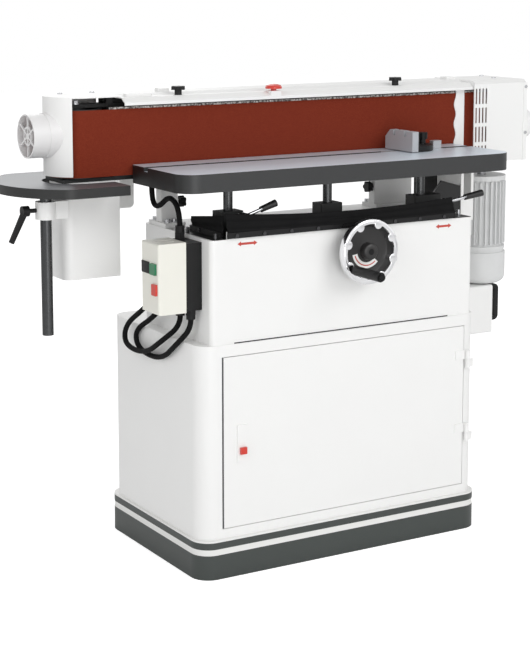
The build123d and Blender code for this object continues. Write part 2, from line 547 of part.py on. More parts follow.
# Right cover: a guard box round the drive drum, open below and towards the belt.
RIGHT_X, RIGHT_Y, RIGHT_LOW = (518, 690), (-37, 140), PLATE_Z[0] - 16
RIGHT_BEND = COVER_TOP - 8
CAP_AT, CAP_R = (30, PLATE_Z[0] + 74), 40
with BuildPart() as right_cover:
    left = COVER_X[1] + SOFT
    face = RIGHT_Y[0] + SHEET
    sheet(side(left), [(face, RIGHT_BEND), (RIGHT_Y[0] + 13, COVER_TOP), (RIGHT_Y[1], COVER_TOP),
                       (RIGHT_Y[1], RIGHT_LOW), (face, RIGHT_LOW)], RIGHT_X[1] - left)
    sheet(side(left - 1), [(face - 1, RIGHT_LOW - 1), (face - 1, RIGHT_BEND - 3),
                           (RIGHT_Y[0] + 14, COVER_TOP - SHEET), (RIGHT_Y[1] - SHEET, COVER_TOP - SHEET),
                           (RIGHT_Y[1] - SHEET, RIGHT_LOW - 1)], RIGHT_X[1] - left + 1 - SHEET, Mode.SUBTRACT)
    disc(side(RIGHT_X[1] - SHEET), [CAP_AT], CAP_R - 6, SHEET, mode=Mode.SUBTRACT)

# Its front plate: four columns of tall vents, and a flange down the right edge.
VENT_X, VENT_PITCH, VENT_ROW = 525, 10.6, 49
with BuildPart() as vent_plate:
    slab(front(RIGHT_Y[0] + SHEET), RIGHT_X, (RIGHT_LOW, RIGHT_BEND), SHEET)
    slab(front(RIGHT_Y[0]), (RIGHT_X[1] - 12, RIGHT_X[1]), (RIGHT_LOW, RIGHT_BEND), 2)
    with BuildSketch(front(RIGHT_Y[0] + SHEET)) as vents:
        with Locations((VENT_X + 1.5 * VENT_PITCH, RIGHT_BEND - 105)):
            with GridLocations(VENT_PITCH, VENT_ROW, 4, 4):
                RectangleRounded(5, VENT_ROW - 9, 2)
    extrude(vents.sketch, amount=SHEET, mode=Mode.SUBTRACT)

with BuildPart() as right_cap:
    disc(side(RIGHT_X[1]), [CAP_AT], CAP_R, 45)
    disc(side(RIGHT_X[1]), [CAP_AT], CAP_R - 4, 42, mode=Mode.SUBTRACT)
save("right_cover", right_cover, vent_plate, right_cap)

with BuildPart() as cover_screws:
    disc(front(RIGHT_Y[0] - 2), [(RIGHT_X[1] - 6, z) for z in (RIGHT_BEND - 131, RIGHT_BEND - 11)], 4, 3)
    disc(top(COVER_TOP), [(634, 33), (-571, 105), (-490, 105), (660, 118)], 6, 3.5)

# Scalloped strip over the belt's right end: its left edge is a gentle wave.
WAVE_PITCH, WAVE_DEPTH, WAVE_TOP = 50.8, 3, LIP_LOW + 5
with BuildPart() as scalloped_guard:
    waves = [(474 - WAVE_DEPTH * cos(2 * pi * (z - BELT_Z[0] - 22.6) / WAVE_PITCH), z)
             for z in [PLATE_Z[1] + n * (WAVE_TOP - PLATE_Z[1]) / 14 for n in range(15)]]
    with BuildSketch(front(-12.5)) as strip:
        with BuildLine():
            Spline(*waves)
            Polyline(waves[-1], (503, WAVE_TOP), (503, PLATE_Z[1]), waves[0])
        make_face()
    extrude(strip.sketch, amount=2)
    slab(top(LIP_LOW), (478, 503), (LIP_Y + SHEET, -13), 3)
save("scalloped_guard", scalloped_guard)

# Fittings on the top cover.
KNOB_AT = ((-315, -5 + 12), (301, -5 + 12))
for x, name in ((KNOB_AT[0], "star_knob_left"), (KNOB_AT[1], "star_knob_right")):
    with BuildPart() as star_knob:
        disc(top(COVER_STEP), [x], 8, 6)
        knob(top(COVER_STEP + 6), x, 18, 14, 6)
    save(name, star_knob)

with BuildPart() as estop_base:
    sheet(side(ESTOP_AT[0] - 14), [(LIP_Y, COVER_STEP - 10), (LIP_Y, COVER_STEP + 2), (-4, COVER_STEP + 2),
                                   (-4, COVER_STEP), (LIP_Y + 17, COVER_STEP)], 28)
    disc(top(COVER_STEP - 14), [ESTOP_AT], 7 + RUN, 20, mode=Mode.SUBTRACT)

with BuildPart() as estop_button:
    with BuildSketch(front(ESTOP_AT[1])) as cap:
        with BuildLine():
            x, z = ESTOP_AT[0], COVER_STEP + 7
            Polyline((x, z + 11), (x, z - 9), (x + 7, z - 9), (x + 7, z), (x + 20, z), (x + 20, z + 4),
                     (x + 17.5, z + 8), (x + 11, z + 10.4), (x, z + 11))
        make_face()
    revolve(cap.sketch, axis=Axis((*ESTOP_AT, 0), (0, 0, 1)))
save("estop_button", estop_button)

with BuildPart() as cover_brackets:
    slab(top(COVER_STEP), (-452, -385), (3, 19), 7, 3)
    slab(top(COVER_TOP), (490, 518), (45, 75), 7, 3)
    slab(top(COVER_TOP), (-345, -315), (50, 70), 8, 3)
save("cover_fittings", cover_brackets, estop_base)

# Two cast brackets carry the head on the housing.
with BuildPart() as left_bracket:
    slab(top(HOUSE_TOP), (-357, -300), (0, 86), 10, 5)
    sheet(front(52), [(-352, HOUSE_TOP + 10), (-352, PLATE_Z[0]), (-312, PLATE_Z[0]), (-303, HOUSE_TOP + 10)], 26)

with BuildPart() as right_bracket:
    slab(top(HOUSE_TOP), (251, 370), (10, 80), 10, 5)
    sheet(front(48), [(252, HOUSE_TOP + 10), (252, 860), (276, PLATE_Z[0]), (366, PLATE_Z[0]),
                      (366, HOUSE_TOP + 10)], 26)
save("head_brackets", left_bracket, right_bracket)

with BuildPart() as bracket_bolts:
    disc(top(HOUSE_TOP + 10), [(-343, 12), (-343, 74), (-325, 12), (-325, 74), (262, 70), (358, 70)], 7, 8)
save("screws", skirt_screws, housing_screws, cover_screws, idler_bolt, bracket_bolts)


def bracket_knob(plane, at, name):
    """Lobed clamp knob on a short stem, on the inner face of a head bracket."""
    with BuildPart() as clamp:
        disc(plane, [at], 5, 6)
        knob(plane.offset(6), at, 14, 14)
    save(name, clamp)


bracket_knob(side(-306.1), (36, 838), "left_bracket_knob")
bracket_knob(Plane((252, 0, 0), x_dir=(0, 1, 0), z_dir=(-1, 0, 0)), (32, -838), "right_bracket_knob")

# End table: a round-ended casting cut out round the idler end of the head.
with BuildPart() as end_table:
    with BuildSketch(top(END_TOP - END_T)) as plan:
        with Locations(END_ARC_AT):
            Circle(END_ARC_R)
        with Locations(((END_X + END_ARC_AT[0] - END_ARC_R) / 2, sum(END_Y) / 2)):
            Rectangle(END_X - END_ARC_AT[0] + END_ARC_R, END_Y[1] - END_Y[0], mode=Mode.INTERSECT)
        corners = [v for v in plan.vertices() if v.X < END_ARC_AT[0] and abs(v.Y - END_ARC_AT[1]) > 100]
        fillet(corners, END_FILLET)
    extrude(plan.sketch, amount=END_T)
    with BuildSketch(top(END_TOP - END_T)) as cut:
        with Locations((IDLER_X, DRUM_Y)):
            Circle(CUT_R)
        with Locations(((IDLER_X + END_X) / 2 + 1, sum(CUT_Y) / 2)):
            Rectangle(END_X - IDLER_X + 2, CUT_Y[1] - CUT_Y[0])
    extrude(cut.sketch, amount=END_T, mode=Mode.SUBTRACT)
save("end_table", end_table)

with BuildPart() as end_table_post:
    disc(top(562), [END_POST_AT], END_POST_R, END_TOP - END_T - 562)
save("end_table_post", end_table_post)

# Sheet column under the idler, with the clamp for the end table's post welded on.
with BuildPart() as end_column:
    slab(top(COLUMN_Z[0]), COLUMN_X, PLATE_Y, COLUMN_Z[1] - COLUMN_Z[0], 20)
    slab(top(COLUMN_Z[0]), (COLUMN_X[1] - 30, COLUMN_X[1] + 10), (PLATE_Y[0], PLATE_Y[0] + 25),
         COLUMN_Z[1] - COLUMN_Z[0])
    slab(top(COLUMN_Z[0]), (COLUMN_X[0] + SHEET, COLUMN_X[1] - SHEET),
         (PLATE_Y[0] + SHEET, PLATE_Y[1] - SHEET), COLUMN_Z[1] - COLUMN_Z[0], 17.5, Mode.SUBTRACT)
    slab(top(COLUMN_Z[0]), (COLUMN_X[1], COLUMN_X[1] + 10), (PLATE_Y[0] + SHEET, PLATE_Y[1]),
         COLUMN_Z[1] - COLUMN_Z[0], mode=Mode.SUBTRACT)

with BuildPart() as post_clamp:
    disc(top(BOSS_Z[0]), [END_POST_AT], 23.5, BOSS_Z[1] - BOSS_Z[0])
    slab(top(BOSS_Z[0]), (END_POST_AT[0], COLUMN_X[0]), (-14, 14), BOSS_Z[1] - BOSS_Z[0])
    slab(top(BOSS_Z[0]), (COLUMN_X[0] - 26, COLUMN_X[0]), (-14, 66), BOSS_Z[1] - BOSS_Z[0])
    disc(top(BOSS_Z[0]), [END_POST_AT], END_POST_R + RUN, BOSS_Z[1] - BOSS_Z[0], mode=Mode.SUBTRACT)
save("end_column", end_column, post_clamp)

RATCHET_AT, RATCHET_TIP = (-706, 0, 849), (-733, 20, 777)
with BuildPart() as ratchet_lever:
    disc(side(RATCHET_AT[0] - 9), [RATCHET_AT[1:]], 12, 16)
    disc(side(RATCHET_AT[0]), [RATCHET_AT[1:]], 5, END_POST_AT[0] - 23.8 - RATCHET_AT[0])
    bar((RATCHET_AT[0] - 2, 1, 846), RATCHET_TIP, 8, 6.5)
save("ratchet_lever", ratchet_lever)

# Motor: finned body hung under the drive drum, fan and cowl below it.
with BuildPart() as motor_body:
    disc(top(MOTOR_Z[0]), [(DRIVE_X, DRUM_Y)], MOTOR_R - FIN_DEPTH, MOTOR_Z[1] - MOTOR_Z[0])
    disc(top(MOTOR_Z[1] - 12), [(DRIVE_X, DRUM_Y)], MOTOR_R - 1, 12)
    disc(top(MOTOR_Z[0]), [(DRIVE_X, DRUM_Y)], MOTOR_R - 1, 8)
    disc(top(FAN_COVER_Z[1] - 8), [(DRIVE_X, DRUM_Y)], FAN_COVER_R - 4 - SOFT, MOTOR_Z[0] - FAN_COVER_Z[1] + 8)
    with BuildSketch(top(MOTOR_Z[0] + 14)) as fins:
        with Locations((DRIVE_X, DRUM_Y)):
            with PolarLocations(MOTOR_R - FIN_DEPTH / 2 - 1, FIN_COUNT):
                Rectangle(FIN_DEPTH + 2, 3)
    extrude(fins.sketch, amount=MOTOR_Z[1] - MOTOR_Z[0] - 30)
    slab(top(MOTOR_Z[0] + 40), (CHANNEL_X[1], DRIVE_X - 40), (DRUM_Y - 32, DRUM_Y + 32), 110)
    disc(top(600), [(DRIVE_X, DRUM_Y)], AXLE_R + RUN, 300, mode=Mode.SUBTRACT)
save("motor_body", motor_body)

with BuildPart() as motor_shaft:
    disc(top(592), [(DRIVE_X, DRUM_Y)], AXLE_R, ARM_Z[0] - 592)
    disc(top(590), [(DRIVE_X, DRUM_Y)], 20, 26)
    with BuildSketch(top(592)) as blades:
        with Locations((DRIVE_X, DRUM_Y)):
            with PolarLocations(36, 7):
                Rectangle(36, 2.5)
    extrude(blades.sketch, amount=22)
save("motor_shaft", motor_shaft)

with BuildPart() as motor_fan_cover:
    with BuildSketch(front(DRUM_Y)) as shell:
        with BuildLine():
            low = FAN_COVER_Z[0]
            flat = DRIVE_X + FAN_COVER_R - 22
            wide = DRIVE_X + FAN_COVER_R
            Polyline((DRIVE_X, low), (flat, low))
            ThreePointArc((flat, low), (wide - 6.4, low + 6.4), (wide, low + 22))
            Polyline((wide, low + 22), (wide, FAN_COVER_Z[1]), (wide - 4, FAN_COVER_Z[1]), (wide - 4, low + 22),
                     (wide - 9.3, low + 9.3), (flat, low + 4), (DRIVE_X, low + 4), (DRIVE_X, low))
        make_face()
    revolve(shell.sketch, axis=Axis((DRIVE_X, DRUM_Y, 0), (0, 0, 1)))
    with BuildSketch(top(FAN_COVER_Z[0])) as grille:
        with Locations((DRIVE_X, DRUM_Y)):
            for radius in (16, 26, 36):
                with PolarLocations(radius, 6, start_angle=15):
                    SlotOverall(radius * 0.62, 5, rotation=90)
    extrude(grille.sketch, amount=6, mode=Mode.SUBTRACT)
save("motor_fan_cover", motor_fan_cover)

# Motor bracket: a channel from the head's plate to the motor's pad, with its gusset and shield.
with BuildPart() as motor_channel:
    slab(top(CHANNEL_Z[0]), CHANNEL_X, CHANNEL_Y, CHANNEL_Z[1] - CHANNEL_Z[0])
    slab(top(CHANNEL_Z[0]), (CHANNEL_X[0] + 5, CHANNEL_X[1] - 5), (CHANNEL_Y[0] + 5, CHANNEL_Y[1] - 5),
         CHANNEL_Z[1] - CHANNEL_Z[0], mode=Mode.SUBTRACT)
    slab(front(CHANNEL_Y[0] + 5), (CHANNEL_X[0] + 8, CHANNEL_X[1] - 8), (790, 880), 5, 6, Mode.SUBTRACT)

with BuildPart() as gusset:
    sheet(front(3), [(408, 802), (444, 844), (CHANNEL_X[0], 827), (CHANNEL_X[0], 789)], 6)

with BuildPart() as shield:
    slab(top(780), (430, CHANNEL_X[0]), (98, 100.5), PLATE_Z[0] - 780)
save("motor_channel", motor_channel, gusset, shield)

# Box on the cabinet's right wall, with its bridge handle.
with BuildPart() as rear_box:
    slab(side(BOX_X[0]), BOX_Y, BOX_Z, BOX_X[1] - BOX_X[0], 6)
    slab(side(BOX_X[0]), (BOX_Y[0] + 2, BOX_Y[1] - 2), (BOX_Z[0] + 2, BOX_Z[1] - 2),
         BOX_X[1] - BOX_X[0] - 2, 4, Mode.SUBTRACT)
save("rear_box", rear_box)

with BuildPart() as bridge_handle:
    with BuildSketch(front(21)) as loop:
        with Locations((BOX_X[1] + 16.5, 506)):
            Rectangle(33, 98)
        fillet(loop.vertices().group_by(Axis.X)[-1], 14)
        with Locations((BOX_X[1] + 10.5, 506)):
            Rectangle(21, 74, mode=Mode.SUBTRACT)
    extrude(loop.sketch, amount=12)
save("bridge_handle", bridge_handle)

# Switch box on the housing's left wall: black back, pale cover and two push buttons.
SWITCH_T = 2.5
GREEN_AT, RED_AT = (-164, 721), (-170, 675)
with BuildPart() as switch_back:
    slab(side(SWITCH_X[1]), (SWITCH_Y[0] + 2, SWITCH_Y[1] - 1), (SWITCH_Z[0] + 3, SWITCH_Z[1] - 3),
         SWITCH_X[2] - SWITCH_X[1])
    slab(side(SWITCH_X[1]), (SWITCH_Y[0] + 5, SWITCH_Y[1] - 4), (SWITCH_Z[0] + 6, SWITCH_Z[1] - 6),
         SWITCH_X[2] - SWITCH_X[1] - 3, mode=Mode.SUBTRACT)
    for y, z in (GREEN_AT, RED_AT):
        slab(side(SWITCH_X[0] + 11), (y - 8, y + 8), (z - 8, z + 8), SWITCH_X[2] - SWITCH_X[0] - 12)
save("switch_back", switch_back)

with BuildPart() as switch_cover:
    slab(side(SWITCH_X[0]), SWITCH_Y, SWITCH_Z, SWITCH_X[1] - SWITCH_X[0])
    fillet(switch_cover.faces().sort_by(Axis.X)[0].edges(), 5)
    slab(side(SWITCH_X[0] + SWITCH_T), (SWITCH_Y[0] + SWITCH_T, SWITCH_Y[1] - SWITCH_T),
         (SWITCH_Z[0] + SWITCH_T, SWITCH_Z[1] - SWITCH_T), SWITCH_X[1] - SWITCH_X[0], mode=Mode.SUBTRACT)
    slab(side(SWITCH_X[0] - 1), (GREEN_AT[0] - 13, GREEN_AT[0] + 13), (GREEN_AT[1] - 13, GREEN_AT[1] + 13),
         9, mode=Mode.SUBTRACT)
    slab(side(SWITCH_X[0] - 1), (RED_AT[0] - 11, RED_AT[0] + 11), (RED_AT[1] - 13, RED_AT[1] + 13),
         9, mode=Mode.SUBTRACT)
    slab(side(SWITCH_X[0] - 1.2), (-147, -112), (709, 734), 1.3)
    for y in (-166, -140):
        slab(top(SWITCH_Z[1] - SWITCH_T), (SWITCH_X[0] + 14, SWITCH_X[1] - 14), (y, y + 9), 3,
             mode=Mode.SUBTRACT)
save("switch_cover", switch_cover)

for name, at, half in (("start_button", GREEN_AT, 13), ("stop_button", RED_AT, 11)):
    with BuildPart() as button:
        slab(side(SWITCH_X[0] - 5), (at[0] - half + SOFT, at[0] + half - SOFT),
             (at[1] - 13 + SOFT, at[1] + 13 - SOFT), 12, 2)
    save(name, button)

# Cable glands: a nut and a collar on every cord's end.
TOP_GLAND, HEAD_GLAND = (-380, -119), (-380, 20)
GLAND_A, GLAND_B = (-380, -118), (-380, -169)
BACK_A, BACK_B = (-387, 654), (-374, 630)
GLAND_H = 22
UNDER = Plane((0, 0, SWITCH_Z[0] + 3), z_dir=(0, 0, -1), x_dir=(1, 0, 0))
REAR = Plane((0, SWITCH_Y[1] - 1, 0), z_dir=(0, 1, 0), x_dir=(1, 0, 0))
ROOF = Plane((0, 0, PLATE_Z[0]), z_dir=(0, 0, -1), x_dir=(1, 0, 0))


def gland(plane, at, length):
    """Six-sided nut with a round collar above it, standing on the plane."""
    with BuildSketch(plane) as nut:
        with Locations(at):
            RegularPolygon(12.5, 6)
    extrude(nut.sketch, amount=length * 0.55)
    disc(plane, [at], 10.5, length)


with BuildPart() as cable_glands:
    gland(top(SWITCH_Z[1] - 3), TOP_GLAND, 31)
    for x, y in (GLAND_A, GLAND_B):
        gland(UNDER, (x, -y), GLAND_H)
    for x, z in (BACK_A, BACK_B):
        gland(REAR, (x, -z), 16)
    gland(ROOF, (HEAD_GLAND[0], -HEAD_GLAND[1]), 12)
save("cable_glands", cable_glands)


def cord(points):
    """Cord along straight runs joined by tangent arcs; prints the arc radii and the length."""
    radii = []
    for before, at, after in zip(points, points[1:], points[2:]):
        one = Vector(*at) - Vector(*before)
        two = Vector(*after) - Vector(*at)
        half = radians(one.get_angle(two)) / 2
        radii.append(0.45 * min(one.length, two.length) / tan(half))
    with BuildPart() as tube:
        with BuildLine() as route:
            FilletPolyline(*points, radius=radii)
        with BuildSketch(Plane(points[0], z_dir=Vector(*points[1]) - Vector(*points[0]))):
            Circle(CORD_R)
        sweep()
    length = sum(edge.length for edge in route.edges())
    print("cord radii", [round(r, 1) for r in radii], "length", round(length, 1),
          "volume ratio", round(tube.part.volume / (pi * CORD_R ** 2 * length), 4))
    return tube


x, y = TOP_GLAND
high = SWITCH_Z[1] - 3 + 31
head_cord = cord([(x, y, high), (x, y, 843), (x, -72, 872), (x, -12, 834), (x, 20, 846),
                  (x, 20, PLATE_Z[0] - 12)])
save("head_cord", head_cord)

low = SWITCH_Z[0] + 3 - GLAND_H
rear = SWITCH_Y[1] - 1 + 16
loop_a = cord([(*GLAND_A, low), (*GLAND_A, 574), (-414, -88, 536), (-414, -5, 490), (-414, 104, 490),
               (-412, 104, 540), (-404, 20, 592), (BACK_A[0], -50, BACK_A[1]), (BACK_A[0], rear, BACK_A[1])])
loop_b = cord([(*GLAND_B, low), (*GLAND_B, 576), (-404, -146, 540), (-400, -60, 484), (-400, 58, 486),
               (-400, 78, 530), (-394, -10, 576), (BACK_B[0], -56, BACK_B[1]), (BACK_B[0], rear, BACK_B[1])])
save("loop_cords", loop_a, loop_b)

# Mitre gauge in the table's slot: bar, swivelling head, stop plate and lock knob.
GAUGE_X, GAUGE_PIVOT, GAUGE_TRACK = 262, 284, 36
PIVOT_AT, STUD_AT = (GAUGE_PIVOT, SLOT_Y), (GAUGE_PIVOT + GAUGE_TRACK, SLOT_Y)
with BuildPart() as gauge_bar:
    slab(top(TABLE_Z[1] - SLOT_D), (GAUGE_X - 60, GAUGE_X + 118), (SLOT_Y - 9.3, SLOT_Y + 9.3), SLOT_D - SOFT)
    disc(top(TABLE_Z[1] - SOFT), [PIVOT_AT, STUD_AT], 4, 32)
    slab(top(TABLE_Z[1] - SOFT), (GAUGE_X + 86, GAUGE_X + 112), (SLOT_Y - 9, SLOT_Y + 9), 20, 3)
save("gauge_bar", gauge_bar)

with BuildPart() as gauge_head:
    with BuildSketch(top(TABLE_Z[1] + SOFT)) as sector:
        with Locations(PIVOT_AT):
            Circle(56)
        with Locations((GAUGE_X + 40, SLOT_Y)):
            Rectangle(80, 110, mode=Mode.INTERSECT)
    extrude(sector.sketch, amount=14)
    slab(top(TABLE_Z[1] + SOFT), (GAUGE_X, GAUGE_X + 10), (SLOT_Y - 56, SLOT_Y + 46), 36)
    disc(top(TABLE_Z[1] + SOFT), [PIVOT_AT], 11, 30)
    disc(top(TABLE_Z[1] - 1), [PIVOT_AT], 4 + RUN, 60, mode=Mode.SUBTRACT)
    with BuildSketch(top(TABLE_Z[1] - 1)) as track:
        with BuildLine():
            CenterArc(PIVOT_AT, GAUGE_TRACK + 4.7, -32, 64)
            CenterArc(PIVOT_AT, GAUGE_TRACK - 4.7, -32, 64)
            for turn in (-32, 32):
                Line(Vector(*PIVOT_AT) + Vector(GAUGE_TRACK - 4.7, 0).rotate(Axis.Z, turn),
                     Vector(*PIVOT_AT) + Vector(GAUGE_TRACK + 4.7, 0).rotate(Axis.Z, turn))
        make_face()
    extrude(track.sketch, amount=30, mode=Mode.SUBTRACT)
save("gauge_head", gauge_head)

with BuildPart() as stop_plate:
    with BuildSketch(side(GAUGE_X - 18)) as plate:
        with BuildLine():
            Polyline((-150, 942), (-150, 991), (-55, 991), (-35, 973), (-35, 942), close=True)
        make_face()
        with Locations((-72, 985), (-118, 985)):
            Rectangle(10, 14, mode=Mode.SUBTRACT)
    extrude(plate.sketch, amount=18)
save("stop_plate", stop_plate)

with BuildPart() as gauge_knob:
    disc(top(TABLE_Z[1] + 14 + 2 * SOFT), [STUD_AT], 9, 12, 4 + RUN)
    knob(top(TABLE_Z[1] + 26), STUD_AT, 14, 16, 6)
    disc(top(TABLE_Z[1] + 14), [STUD_AT], 4 + RUN, 19, mode=Mode.SUBTRACT)
save("gauge_knob", gauge_knob)
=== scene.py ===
import math
import bmesh
import bpy
from mathutils import Matrix, Vector


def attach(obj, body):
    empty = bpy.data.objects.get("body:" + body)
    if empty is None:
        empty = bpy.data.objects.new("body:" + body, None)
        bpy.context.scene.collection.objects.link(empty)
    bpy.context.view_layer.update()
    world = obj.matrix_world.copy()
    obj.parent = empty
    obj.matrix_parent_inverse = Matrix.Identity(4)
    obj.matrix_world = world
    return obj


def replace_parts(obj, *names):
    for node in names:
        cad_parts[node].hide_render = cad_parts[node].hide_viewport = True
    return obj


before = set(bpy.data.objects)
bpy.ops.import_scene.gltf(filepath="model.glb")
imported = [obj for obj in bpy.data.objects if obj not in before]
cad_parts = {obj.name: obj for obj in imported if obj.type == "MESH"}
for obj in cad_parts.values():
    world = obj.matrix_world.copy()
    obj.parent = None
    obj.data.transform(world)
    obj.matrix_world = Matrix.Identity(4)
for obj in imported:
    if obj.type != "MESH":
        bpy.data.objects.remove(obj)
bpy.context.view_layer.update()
MM = 0.001
FAR = 1500  # past the object on any side, in millimetres

# The photograph's view: three quarters from the left, a little above, with a small upward frame shift.
camera_data = bpy.data.cameras.new("camera")
camera_data.lens = 92.415
camera_data.sensor_width = 36
camera_data.shift_x = -0.00189
camera_data.shift_y = -0.17
camera_data.clip_end = 60
camera = bpy.data.objects.new("camera", camera_data)
camera.location = (-2.1759, -3.5146, 1.394)
camera.rotation_euler = (math.radians(90 - 8.495), 0, math.radians(-30.808))
bpy.context.scene.collection.objects.link(camera)
bpy.context.scene.camera = camera


def linear(code, alpha=1.0):
    """sRGB hex colour to the linear values that shaders take."""
    parts = [int(code[i:i + 2], 16) / 255 for i in (0, 2, 4)]
    return [p / 12.92 if p <= 0.04045 else ((p + 0.055) / 1.055) ** 2.4 for p in parts] + [alpha]


def add(owner, kind, links=None, **settings):
    """Adds one node: settings are its own, links give its inputs a value or another node's output."""
    step = owner.node_tree.nodes.new("ShaderNode" + kind)
    for name, value in settings.items():
        setattr(step, name, value)
    for socket, source in (links or {}).items():
        if isinstance(source, bpy.types.NodeSocket):
            owner.node_tree.links.new(source, step.inputs[socket])
        else:
            step.inputs[socket].default_value = source
    return step


def finish_of(name, colour, rough, metallic=0.0, grain=0.0, grain_mm=1.0, mottle=0.0, mottle_mm=60.0,
              rough_spread=0.0, coat=0.0, ior=1.5):
    """Base of each material: colour with slow mottling, grain as bump, and uneven roughness."""
    material = bpy.data.materials.new(name)
    material.use_nodes = True
    tree = material.node_tree
    tree.nodes.clear()
    out = add(material, "OutputMaterial")
    shader = add(material, "BsdfPrincipled")
    shader.inputs["Metallic"].default_value = metallic
    shader.inputs["IOR"].default_value = ior
    shader.inputs["Coat Weight"].default_value = coat
    tree.links.new(shader.outputs["BSDF"], out.inputs["Surface"])
    place = add(material, "TexCoord").outputs["Object"]
    slow = add(material, "TexNoise", {"Vector": place, "Scale": 1000 / mottle_mm, "Detail": 3.0})
    dark = [c * (1 - mottle) for c in linear(colour)[:3]] + [1]
    tint = add(material, "MixRGB", {"Fac": slow.outputs["Fac"], "Color1": linear(colour), "Color2": dark})
    tree.links.new(tint.outputs["Color"], shader.inputs["Base Color"])
    level = add(material, "MapRange", {"Value": slow.outputs["Fac"], "To Min": rough - rough_spread,
                                       "To Max": rough + rough_spread})
    tree.links.new(level.outputs["Result"], shader.inputs["Roughness"])
    if grain:
        fine = add(material, "TexNoise", {"Vector": place, "Scale": 1000 / grain_mm, "Detail": 2.0})
        bump = add(material, "Bump", {"Height": fine.outputs["Fac"], "Strength": 1.0,
                                      "Distance": grain * MM})
        tree.links.new(bump.outputs["Normal"], shader.inputs["Normal"])
    return material, shader, place, tint


def inside_box(material, place, low, high):
    """1 where the place lies between two corners in millimetres, otherwise 0."""
    parts = add(material, "SeparateXYZ", {"Vector": place})
    inside = 1.0
    for axis, start, end in zip("XYZ", low, high):
        near = add(material, "Math", {0: parts.outputs[axis], 1: (start + end) / 2 * MM,
                                      2: (end - start) / 2 * MM}, operation="COMPARE")
        inside = add(material, "Math", {0: near.outputs[0], 1: inside}, operation="MULTIPLY").outputs[0]
    return inside


def second_coat(material, shader, place, tint, colour, boxes):
    """Paints a second colour over a material inside boxes given by their corners in millimetres."""
    covered = 0.0
    for low, high in boxes:
        covered = add(material, "Math", {0: inside_box(material, place, low, high), 1: covered},
                      operation="MAXIMUM").outputs[0]
    both = add(material, "MixRGB", {"Fac": covered, "Color1": tint.outputs["Color"],
                                    "Color2": linear(colour)})
    material.node_tree.links.new(both.outputs["Color"], shader.inputs["Base Color"])
    return material


# White powder coat on sheet steel: satin, with the faint orange peel that baked powder leaves.
POWDER = dict(colour="F6F6F5", rough=0.38, grain=0.02, grain_mm=3.0, mottle=0.03, mottle_mm=180)
powder_coat, *_ = finish_of("powder_coat_white", **POWDER, rough_spread=0.05)
# Sprayed enamel on the plinth: grey-green, slightly glossy, with a white painted band and a white lip.
plinth_enamel = second_coat(
    *finish_of("plinth_enamel", "414644", 0.36, grain=0.015, grain_mm=4.0, mottle=0.08, mottle_mm=220,
               rough_spread=0.06),
    "EDEDEB", (((-FAR, -FAR, 58), (FAR, FAR, 72)), ((-FAR, -FAR, 88), (FAR, FAR, 200))))
# The housing is powder coated too, but its top sheet is black under the table, and a dark line along its
# foot is painted shade, standing for the shadow in the gap between the housing and the cabinet.
housing_coat_and_shade = second_coat(
    *finish_of("housing_coat_and_shade", **POWDER), "1B1B1C",
    (((-351, -224, 783.5), (FAR, -40, FAR)), ((-300, -228, 543), (300, -226.4, 551.5))))
# The door is powder coated too, with painted shade as a dark line down its left edge, where its return
# stands in shade.
door_coat_and_shade = second_coat(*finish_of("door_coat_and_shade", **POWDER), "4A4A4C",
                        (((-334, -250, 100), (-330.2, -200, 530)),))
# The motor's channel is powder coated, and its gusset and shield are enamelled black.
channel_coat = second_coat(*finish_of("channel_coat", **POWDER), "161617",
                           (((-FAR, -FAR, 0), (504.5, FAR, FAR)),))
# Screws are plated bright, and those of the rubber's strip are blackened.
screw_steel = second_coat(
    *finish_of("screw_steel", "D4D5D8", 0.2, metallic=0.85, mottle=0.05, mottle_mm=30, rough_spread=0.04),
    "4E4E50", (((-FAR, -FAR, 0), (FAR, -229, 800)), ((-FAR, -FAR, 0), (-318, -40, 800))))

# The ground face is what looks up by more than this and lies this near the casting's top, in millimetres.
FACES_UP, GROUND_DEPTH = 0.7, 12
PAINT_ROUGH, GROUND_ROUGH, GROUND_METAL, GROUND_SHADE = 0.42, 0.38, 0.25, 0.82


